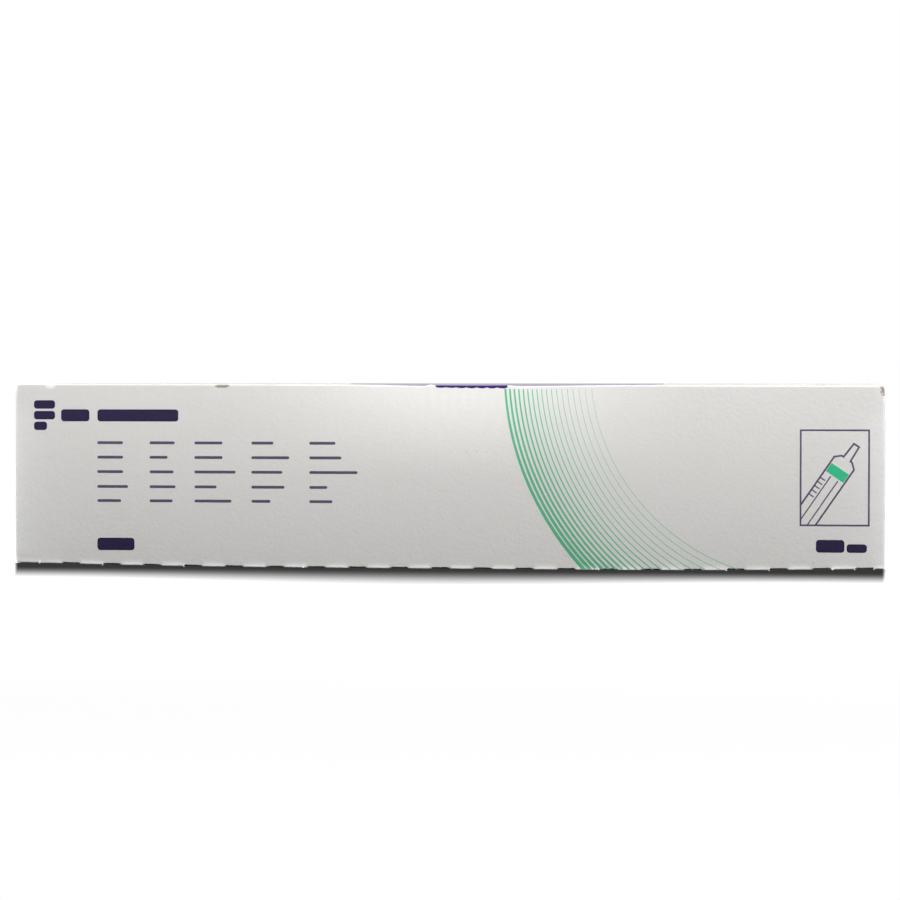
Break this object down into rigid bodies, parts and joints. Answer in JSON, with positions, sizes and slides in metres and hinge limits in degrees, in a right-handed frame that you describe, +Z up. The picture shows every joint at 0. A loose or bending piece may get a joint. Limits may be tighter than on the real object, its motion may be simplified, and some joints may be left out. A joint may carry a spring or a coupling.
{
  "type": "syringe carton",
  "caption": "Long shallow folding carton of coated board, glued shut over wrapped syringes, with a thumb tab on its lid and a cut crease along its bottom front edge.",
  "frame": {"origin": "on the ground under the middle of the carton, at the bottom centre of its box", "axes": "+X along the carton to the right as the printed front is read, +Y from the front panel to the back panel, +Z up"},
  "size_m": [0.46, 0.15, 0.097],
  "materials": {
    "white_board": "matte",
    "purple_ink": "satin",
    "green_ink": "satin"
  },
  "bodies": {
    "root": {"carton": "white_board"}
  },
  "joints": []
}
